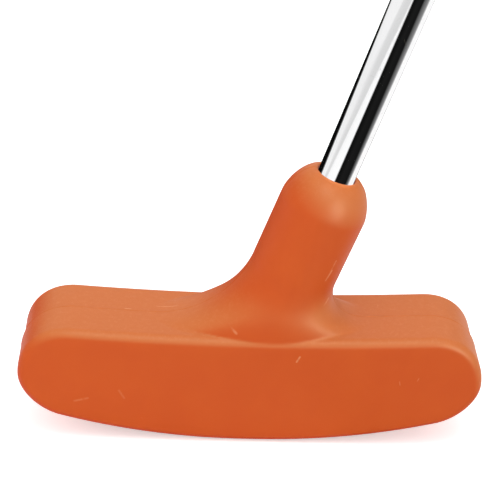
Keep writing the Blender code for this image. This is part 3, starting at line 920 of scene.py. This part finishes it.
SCUFFS = (
    (on_face(0.0125, 0.0275), (0.0004, 0.0, 0.0008), 0.0004, 0.6),
    (on_face(-0.046, 0.013), (0.0018, 0.0, 0.0005), 0.0005, 0.25),
    (on_face(-0.035, 0.015), (0.0007, 0.0, -0.0012), 0.0005, 0.2),
    (on_boss(0.0215, -55), (0.0007, 0.0002, 0.0014), 0.0005, 0.8),
    (on_boss(0.0125, -36), (0.0007, 0.0007, 0.0006), 0.0005, 0.5),
    (on_boss(0.0235, -55), (0.0009, 0.0003, 0.0026), 0.0004, 0.35),
    (on_top(-0.0055, -0.0115, 0.0025), (0.0010, -0.0009, -0.0010), 0.0006, 0.5),
    (on_top(-0.034, 0.001), (0.0008, 0.0, 0.0), 0.0004, 0.8),
    (on_top(-0.024, 0.003), (0.0040, -0.0003, 0.0004), 0.0003, 0.5),
)
rubber_finish, tree, shader = start_finish("orange_rubber_finish", Specular_IOR_Level=0.22)
tooth = use_effect(tree, grain, **{"Fine size": 0.00028, "Broad size": 0.016})
marks = use_effect(tree, scratches, Size=0.016, Width=0.006, Amount=0.2)["Mask"]
powder = use_effect(tree, dust, Size=0.0012, Amount=0.16)["Mask"]
colour = blend_colours(tree, ramp(tree, tooth["Broad"], 0.3, 0.7), DEEP_ORANGE, ORANGE)
facing = put(tree, "NewGeometry").outputs["Normal"]
lit_share = vector_step(tree, "DOT_PRODUCT", facing, PAINTED_LIGHT_DIRECTION)["Value"]
# Painted shade: sides turned away from the light are painted a deeper, redder orange.
colour = blend_colours(tree, ramp(tree, lit_share, -0.40, 0.12), PAINTED_SHADE_ORANGE, colour)
# Painted light: the top and the boss's upper side are painted paler and yellower.
colour = blend_colours(tree, ramp(tree, lit_share, 0.165, 0.74), colour, PAINTED_LIGHT_ORANGE)
colour = blend_colours(tree, work_out(tree, "MULTIPLY", marks, 0.35), colour, SCUFF_ORANGE)
colour = blend_colours(tree, powder, colour, SCUFF_ORANGE)
height = tooth["Fine"]
for middle, reach, width, strength in SCUFFS:
    rub = use_effect(tree, stroke, Middle=middle, Reach=reach, Width=width)["Mask"]
    share = work_out(tree, "MULTIPLY", rub, strength)
    colour = blend_colours(tree, share, colour, SCUFF_ORANGE)
    height = work_out(tree, "ADD", height, work_out(tree, "MULTIPLY", share, 4.0))
tree.links.new(colour, shader.inputs["Base Color"])
rough = ramp(tree, tooth["Fine"], 0.3, 0.7, 0.42, 0.54)
rough = work_out(tree, "ADD", rough, work_out(tree, "MULTIPLY", marks, 0.1))
tree.links.new(rough, shader.inputs["Roughness"])
raise_surface(tree, shader, height, 0.00002)
dress("rubber_moulding", rubber_finish)
print("finish:", rubber_finish.name)

# %% [markdown]
# ## Chrome plate
# Chrome is a mirror with a very light haze. Its colour is nearly that of what it mirrors, so the
# surroundings do most of the work. Handling leaves smudges and hair-fine scratches, which change
# its haze more than its colour.

# %% Chrome plate
chrome_finish, tree, shader = start_finish("chrome_plate_finish", Metallic=1.0)
smudge = use_effect(tree, grain, **{"Fine size": 0.0008, "Broad size": 0.012})
lines = use_effect(tree, scratches, Size=0.006, Width=0.006, Amount=0.5)["Mask"]
colour = blend_colours(tree, smudge["Broad"], (0.86, 0.86, 0.87, 1), (0.92, 0.92, 0.92, 1))
colour = blend_colours(tree, work_out(tree, "MULTIPLY", lines, 0.4), colour, (0.5, 0.5, 0.5, 1))
tree.links.new(colour, shader.inputs["Base Color"])
haze = ramp(tree, smudge["Broad"], 0.35, 0.75, 0.035, 0.075)
haze = work_out(tree, "ADD", haze, work_out(tree, "MULTIPLY", lines, 0.15))
tree.links.new(haze, shader.inputs["Roughness"])
raise_surface(tree, shader, smudge["Fine"], 0.000002, 0.4)
dress("chrome_shaft", chrome_finish)
print("finish:", chrome_finish.name)

# %% [markdown]
# ## Black grip rubber
# Grip rubber is darker and duller than the head, and it wears shiny and grey where the hands rub.
# Its gloss is tinted slightly blue, against the warm lamps, so that it stays a neutral black.
# The cap is a harder rubber with a finer, smoother skin, so it gets the same network with its own
# numbers.

# %% Grip rubber and cap rubber


def black_rubber(name, fine, haze, worn):
    finish, tree, shader = start_finish(
        name, Specular_IOR_Level=0.26, Specular_Tint=(0.80, 0.88, 1.0, 1)
    )
    tooth = use_effect(tree, grain, **{"Fine size": fine, "Broad size": 0.014})
    powder = use_effect(tree, dust, Size=0.0007, Amount=0.25)["Mask"]
    marks = use_effect(tree, scratches, Size=0.004, Width=0.012, Amount=0.35)["Mask"]
    share = work_out(tree, "MULTIPLY", ramp(tree, tooth["Broad"], 0.4, 0.7), worn)
    colour = blend_colours(tree, share, (0.006, 0.006, 0.0065, 1), (0.014, 0.014, 0.0135, 1))
    colour = blend_colours(tree, powder, colour, (0.06, 0.058, 0.055, 1))
    marks = work_out(tree, "MULTIPLY", marks, 0.4)
    colour = blend_colours(tree, marks, colour, (0.05, 0.05, 0.05, 1))
    tree.links.new(colour, shader.inputs["Base Color"])
    rough = ramp(tree, tooth["Broad"], 0.35, 0.7, haze + 0.14, haze)
    tree.links.new(rough, shader.inputs["Roughness"])
    raise_surface(tree, shader, tooth["Fine"], 0.00008)
    return finish


dress("grip_rubber", black_rubber("grip_rubber_finish", 0.0004, 0.52, 1.0))
dress("grip_end_cap", black_rubber("cap_rubber_finish", 0.00025, 0.42, 0.6))
print("grip and cap are black rubber")

# %% [markdown]
# ## Steel inside the head
# The weight bar is cut from hot-rolled bar with a dark scale. The socket is turned and shows fine
# rings round the shaft's axis. The pin is spring steel, blued by its hardening. All three share one
# network: a metal, a stain, and a direction of tool marks.

# %% Core steels


def core_steel(name, colour, stain, roughness, across, mark_size):
    """Across gives the direction in which tool marks follow each other."""
    finish, tree, shader = start_finish(name, Metallic=1.0)
    drift = use_effect(tree, grain, **{"Fine size": 0.0004, "Broad size": 0.006})
    place = put(tree, "TexCoord").outputs["Object"]
    along = vector_step(tree, "DOT_PRODUCT", place, tuple(across))["Value"]
    wave = work_out(tree, "SINE", work_out(tree, "MULTIPLY", along, 2 * pi / mark_size))
    marks = work_out(tree, "ADD", work_out(tree, "MULTIPLY", wave, 0.3), drift["Fine"])
    mixed = blend_colours(tree, ramp(tree, drift["Broad"], 0.4, 0.65), colour, stain)
    tree.links.new(mixed, shader.inputs["Base Color"])
    rough = ramp(tree, drift["Broad"], 0.3, 0.7, roughness, roughness + 0.2)
    tree.links.new(rough, shader.inputs["Roughness"])
    raise_surface(tree, shader, marks, 0.00003)
    return finish


ALONG_X = (1.0, 0.0, 0.0)
BAR_STEEL = ((0.30, 0.29, 0.29, 1), (0.10, 0.085, 0.08, 1), 0.45, ALONG_X, 0.0016)
SOCKET_STEEL = ((0.42, 0.42, 0.43, 1), (0.28, 0.27, 0.27, 1), 0.3, AXIS, 0.0005)
SPRING_STEEL = ((0.14, 0.16, 0.22, 1), (0.08, 0.08, 0.11, 1), 0.3, ALONG_Y, 0.0006)
dress("core_bar", core_steel("bar_steel_finish", *BAR_STEEL))
dress("core_socket", core_steel("socket_steel_finish", *SOCKET_STEEL))
dress("hosel_pin", core_steel("spring_steel_finish", *SPRING_STEEL))
print("bar, socket and pin are steel")

# %% [markdown]
# ## Plug and tape
# The plug in the shaft's tip is moulded plastic, slightly see-through in life, shown here by a pale
# cloudy colour. The tape under the grip is creped paper: fine ripples along the shaft, and fibres.

# %% Plug plastic and paper tape
plug_finish, tree, shader = start_finish("plug_plastic_finish", IOR=1.49)
cloud = use_effect(tree, grain, **{"Fine size": 0.0002, "Broad size": 0.003})
colour = blend_colours(tree, cloud["Broad"], (0.70, 0.70, 0.66, 1), (0.80, 0.80, 0.77, 1))
tree.links.new(colour, shader.inputs["Base Color"])
tree.links.new(ramp(tree, cloud["Fine"], 0.2, 0.8, 0.32, 0.48), shader.inputs["Roughness"])
raise_surface(tree, shader, cloud["Fine"], 0.00001)
dress("tip_plug", plug_finish)

CREPE_PITCH = 0.0009
tape_finish, tree, shader = start_finish("tape_paper_finish", Specular_IOR_Level=0.25)
fibre = use_effect(tree, grain, **{"Fine size": 0.00025, "Broad size": 0.004})
place = put(tree, "TexCoord").outputs["Object"]
along = vector_step(tree, "DOT_PRODUCT", place, tuple(AXIS))["Value"]
straight = work_out(tree, "MULTIPLY", along, 2 * pi / CREPE_PITCH)
uneven = work_out(tree, "MULTIPLY", fibre["Broad"], 9.0)
ripple = work_out(tree, "SINE", work_out(tree, "ADD", straight, uneven))
crepe = work_out(tree, "ADD", ripple, fibre["Fine"])
raised = ramp(tree, crepe, -0.5, 1.6)
# Painted shade: the ripples' troughs are painted darker and their crests paler, on top of the bump.
colour = blend_colours(tree, raised, (0.56, 0.46, 0.29, 1), (0.74, 0.66, 0.48, 1))
tree.links.new(colour, shader.inputs["Base Color"])
tree.links.new(ramp(tree, fibre["Fine"], 0.2, 0.8, 0.72, 0.88), shader.inputs["Roughness"])
raise_surface(tree, shader, crepe, 0.00004)
dress("grip_tape", tape_finish)
print("plug and tape finished")

# %% [markdown]
# ## Stage
# A plain pale floor carries the club, and a white surround lights it evenly. The floor glows a
# little, for the camera only, so that it stays white round the club. A wide soft lamp above gives
# the rubber its shape, and two warm lamps add only gloss, on the front rim and on the boss.

# %% Floor and surround
bpy.context.scene.view_settings.view_transform = "Standard"
world = bpy.data.worlds.new("surround")
bpy.context.scene.world = world
world.use_nodes = True
background = world.node_tree.nodes["Background"].inputs
background["Color"].default_value = (1, 1, 1, 1)
background["Strength"].default_value = 1.0

FLOOR_RADIUS = 12.0
FLOOR_GLOW = 0.45
floor_ring = [(FLOOR_RADIUS * cos(t), FLOOR_RADIUS * sin(t), 0.0) for t in ROUND]
floor_mesh = bpy.data.meshes.new("floor")
floor_mesh.from_pydata(floor_ring, [], [tuple(range(len(floor_ring)))])
floor = add_piece("floor", floor_mesh)
floor_finish, tree, shader = start_finish("pale_floor", Specular_IOR_Level=0.0, Roughness=1.0)
wear = use_effect(tree, grain, **{"Fine size": 0.002, "Broad size": 0.4})
colour = blend_colours(tree, wear["Broad"], (0.95, 0.95, 0.95, 1), (0.97, 0.97, 0.97, 1))
tree.links.new(colour, shader.inputs["Base Color"])
to_camera = put(tree, "LightPath").outputs["Is Camera Ray"]
glow = work_out(tree, "MULTIPLY", to_camera, FLOOR_GLOW)
tree.links.new(glow, shader.inputs["Emission Color"])
shader.inputs["Emission Strength"].default_value = 1.0
dress("floor", floor_finish)
print("floor and surround are white")

# %% Lamps
WARM = (1.0, 0.94, 0.66)


def add_lamp(name, place, aim, size, power, only_gloss=False):
    lamp_data = bpy.data.lights.new(name, "AREA")
    lamp_data.shape = "DISK"
    lamp_data.size = size
    lamp_data.energy = power
    lamp_data.color = WARM if only_gloss else (1, 1, 1)
    lamp = bpy.data.objects.new(name, lamp_data)
    bpy.context.scene.collection.objects.link(lamp)
    lamp.location = place
    lamp.rotation_euler = (Vector(aim) - Vector(place)).to_track_quat("-Z", "Y").to_euler()
    lamp.visible_diffuse = not only_gloss


add_lamp("overhead_lamp", (0.05, -0.25, 1.1), (0, 0, 0.03), 0.5, 2.0)
add_lamp("rim_lamp", (0.06, -0.60, 1.05), (0, 0, 0.03), 0.22, 7.0, only_gloss=True)
add_lamp("boss_lamp", (0.66, -0.98, 0.32), (0.02, 0, 0.07), 0.42, 19.0, only_gloss=True)
print("three lamps placed")

# %% [markdown]
# ## Dark cards for the chrome
# Chrome in an all-white room looks like white paper. Dark cards give it the stripes that the eye
# reads as metal. They lie on the floor, and their edges come from the law of reflection: at a few
# stations of the shaft, and for each place across the tube, the mirrored line of sight is followed
# down to the floor. The cards rise a little with distance, which keeps them clear of the floor,
# and they show in reflections only.

# %% What the tube mirrors
CARD_STATIONS = (0.079, 0.092, 0.105, 0.118, 0.131)
SHALLOWEST = 0.02
camera_at = np.array(camera.matrix_world.translation)


def reflections_only(card):
    for ray_kind in ("camera", "diffuse", "shadow", "transmission"):
        setattr(card, "visible_" + ray_kind, False)


def mirrored_floor(station, share):
    """Point of the floor that the tube mirrors, from -1 at its left edge to 1 at its right.

    A ray that runs nearly level would miss the floor, so it drops at least by SHALLOWEST.
    """
    sight = on_axis(station) - camera_at
    sight /= np.linalg.norm(sight)
    sideways = np.cross(AXIS, -sight)
    sideways /= np.linalg.norm(sideways)
    outwards = np.cross(sideways, AXIS)
    normal = outwards * cos(asin(share)) + sideways * share
    ray = sight - 2 * (sight @ normal) * normal
    spot = on_axis(station) + normal * shaft_radius(station)
    return spot + ray * (spot[2] / max(-ray[2], SHALLOWEST))


print("middle of the tube mirrors", mirrored_floor(CARD_STATIONS[0], 0.0).round(2))

# %% Dark cards
CARD_LIFT = 0.0004
CARD_SLOPE = 0.001
NEAR_END = 0.3
FAR_END = 7.0


def add_card(name, low_shares, high_shares, tones):
    """Card that shows as one stripe. Its shares run from the lowest to the highest station."""
    count = len(tones)
    rows = []
    for level, station in zip(np.linspace(0, 1, len(CARD_STATIONS)), CARD_STATIONS):
        shares = np.array(low_shares) * (1 - level) + np.array(high_shares) * level
        rows.append([mirrored_floor(station, share) for share in shares])
    rows.insert(0, [GROUND + (point - GROUND) * NEAR_END for point in rows[0]])
    rows.append([GROUND + (point - GROUND) * FAR_END for point in rows[-1]])
    points = [point for row in rows for point in row]
    for point in points:
        point[2] = CARD_LIFT + CARD_SLOPE * float(np.hypot(point[0], point[1]))
    faces = []
    for start in range(0, count * (len(rows) - 1), count):
        for i in range(start, start + count - 1):
            faces.append((i, i + 1, i + count + 1, i + count))
    mesh = bpy.data.meshes.new(name)
    mesh.from_pydata(points, [], faces)
    shade = mesh.color_attributes.new("tone", "FLOAT_COLOR", "POINT")
    for i, value in enumerate(tones * len(rows)):
        shade.data[i].color = (value, value, value, 1)
    card = add_piece(name, mesh)
    finish, tree, shader = start_finish(name + "_paint", Roughness=1.0, Specular_IOR_Level=0.0)
    shader.inputs["Base Color"].default_value = (0, 0, 0, 1)
    tone = put(tree, "Attribute", attribute_name="tone").outputs["Color"]
    tree.links.new(tone, shader.inputs["Emission Color"])
    shader.inputs["Emission Strength"].default_value = 1.0
    dress(name, finish)
    reflections_only(card)


add_card(
    "broad_card",
    (0.015, 0.065, 0.12, 0.30, 0.60, 0.67, 0.71, 0.77),
    (0.015, 0.065, 0.12, 0.30, 0.50, 0.56, 0.72, 0.78),
    (0.9, 0.004, 0.005, 0.012, 0.008, 0.11, 0.28, 0.92),
)
add_card(
    "edge_card",
    (-0.999, -0.96, -0.88, -0.78, -0.73),
    (-0.999, -0.985, -0.97, -0.955, -0.92),
    (0.003, 0.003, 0.003, 0.003, 0.5),
)
add_card(
    "soft_card",
    (-0.56, -0.52, -0.46, -0.40),
    (-0.62, -0.42, -0.03, 0.014),
    (0.97, 0.84, 0.75, 0.97),
)
add_card(
    "back_card",
    (0.975, 0.985, 0.993, 0.998),
    (0.985, 0.990, 0.995, 0.998),
    (0.3, 0.02, 0.01, 0.01),
)
print("cards for the chrome placed")

# %% [markdown]
# The rubber gets dark cards too. A piece that stands in front of white looks washed out at its
# edges, because every surface mirrors what lies behind it when seen at a shallow angle. Two upright
# cards, one at each side, keep the edges deep in colour.

# %% Cards behind the rubber


def add_dark_card(name, corners):
    mesh = bpy.data.meshes.new(name)
    mesh.from_pydata(corners, [], [(0, 1, 2, 3)])
    card = add_piece(name, mesh)
    finish, tree, shader = start_finish(name + "_paint", Roughness=1.0, Specular_IOR_Level=0.0)
    shader.inputs["Base Color"].default_value = (0.01, 0.01, 0.01, 1)
    dress(name, finish)
    reflections_only(card)


SIDE_TURN = radians(62)
SIDE_DISTANCE = 1.7
SIDE_HALF_WIDTH = 1.1
SIDE_LOW, SIDE_HIGH = 0.26, 1.5

for name, azimuth in (("left_card", -SIDE_TURN), ("right_card", SIDE_TURN)):
    middle = np.array([sin(azimuth), cos(azimuth), 0.0]) * SIDE_DISTANCE
    edge = np.array([cos(azimuth), -sin(azimuth), 0.0]) * SIDE_HALF_WIDTH
    corners = []
    for side, height in ((-1, SIDE_LOW), (1, SIDE_LOW), (1, SIDE_HIGH), (-1, SIDE_HIGH)):
        corners.append(middle + side * edge + (0, 0, height))
    add_dark_card(name, corners)
print("cards for the rubber placed")
